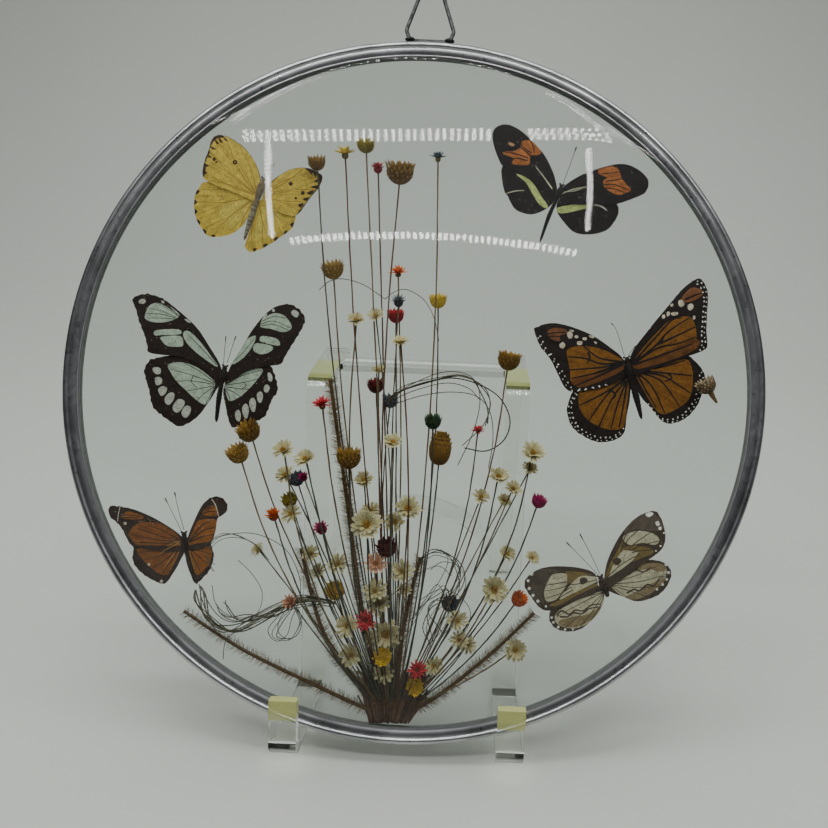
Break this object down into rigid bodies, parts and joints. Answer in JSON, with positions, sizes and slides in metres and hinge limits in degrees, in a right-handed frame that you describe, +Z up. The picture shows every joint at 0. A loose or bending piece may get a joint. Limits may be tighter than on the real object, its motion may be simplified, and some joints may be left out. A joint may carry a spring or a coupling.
{
  "type": "framed butterfly specimen",
  "caption": "Round metal frame with two domed glasses, butterflies and dried flowers sealed between them, a wire hanging loop, standing on a clear acrylic easel.",
  "frame": {"origin": "bottom centre of the whole object, on the surface that the easel stands on", "axes": "+X to the right of a viewer facing the frame, +Z up, and the frame faces -Y, leaning back 22 degrees"},
  "size_m": [0.32, 0.1784, 0.3354],
  "materials": {
    "glass": "clear domed glass",
    "black_butterfly_scales": "matt wing scales",
    "stem_foot": "dark glue and cut stem ends",
    "dry_stem": "dry bristly stem",
    "brown_petals": "dry papery petals",
    "ochre_petals": "dry papery petals",
    "cream_brown_butterfly_scales": "matt wing scales",
    "cream_petals": "dry papery petals",
    "green_petals": "dry papery petals",
    "dark_red_petals": "dry papery petals",
    "acrylic": "clear acrylic with frosted edges",
    "steel_wire": "dull steel wire with solder",
    "magenta_petals": "dry papery petals",
    "navy_petals": "dry papery petals",
    "olive_petals": "dry papery petals",
    "orange_brown_monarch_scales": "matt wing scales",
    "orange_butterfly_scales": "matt wing scales",
    "orange_petals": "dry papery petals",
    "pale_green_butterfly_scales": "matt wing scales",
    "red_petals": "dry papery petals",
    "zinc": "soft satin zinc with darker marks",
    "teal_petals": "dry papery petals",
    "tendril": "dark dry tendril",
    "yellow_butterfly_scales": "matt wing scales",
    "yellow_petals": "dry papery petals"
  },
  "bodies": {
    "root": {"back_glass": "glass", "black_butterfly": "black_butterfly_scales", "bouquet_foot": "stem_foot", "bristly_stem_centre": "dry_stem", "bristly_stem_far_left": "dry_stem", "bristly_stem_left": "dry_stem", "bristly_stem_right": "dry_stem", "bristly_stem_tall": "dry_stem", "brown_seed_head": "brown_petals", "brown_strawflower_far_left": "ochre_petals", "brown_strawflower_left": "brown_petals", "brown_strawflower_low_left": "brown_petals", "brown_strawflower_middle": "brown_petals", "brown_strawflower_right": "brown_petals", "brown_strawflower_tall": "brown_petals", "cream_brown_butterfly": "cream_brown_butterfly_scales", "cream_daisy_centre": "cream_petals", "cream_daisy_far_right": "cream_petals", "cream_daisy_left": "cream_petals", "cream_daisy_left_top": "cream_petals", "cream_daisy_low_right": "cream_petals", "cream_daisy_lowest_right": "cream_petals", "cream_daisy_middle": "cream_petals", "cream_daisy_right": "cream_petals", "cream_daisy_right_centre": "cream_petals", "cream_daisy_right_top": "cream_petals", "cream_daisy_upper": "cream_petals", "cream_daisy_upper_left": "cream_petals", "dark_green_flower": "green_petals", "dark_red_flower": "dark_red_petals", "easel": "acrylic", "front_glass": "glass", "hanging_loop": "steel_wire", "large_cream_daisy": "cream_petals", "loose_strawflower": "brown_petals", "magenta_bud": "magenta_petals", "navy_flower": "navy_petals", "ochre_strawflower": "ochre_petals", "olive_flower": "olive_petals", "orange_brown_monarch": "orange_brown_monarch_scales", "orange_butterfly": "orange_butterfly_scales", "orange_flower_left": "orange_petals", "orange_flower_right": "orange_petals", "orange_star_flower": "orange_petals", "pale_green_butterfly": "pale_green_butterfly_scales", "red_bud_tall": "red_petals", "red_flower_middle": "red_petals", "red_star_flower": "red_petals", "rim": "zinc", "small_red_star": "red_petals", "teal_flower": "teal_petals", "tendril_lower_left": "tendril", "tendril_upper": "tendril", "white_daisy": "cream_petals", "yellow_butterfly": "yellow_butterfly_scales", "yellow_flower_low": "yellow_petals", "yellow_flower_right": "yellow_petals", "yellow_star_flower": "yellow_petals"}
  },
  "joints": []
}
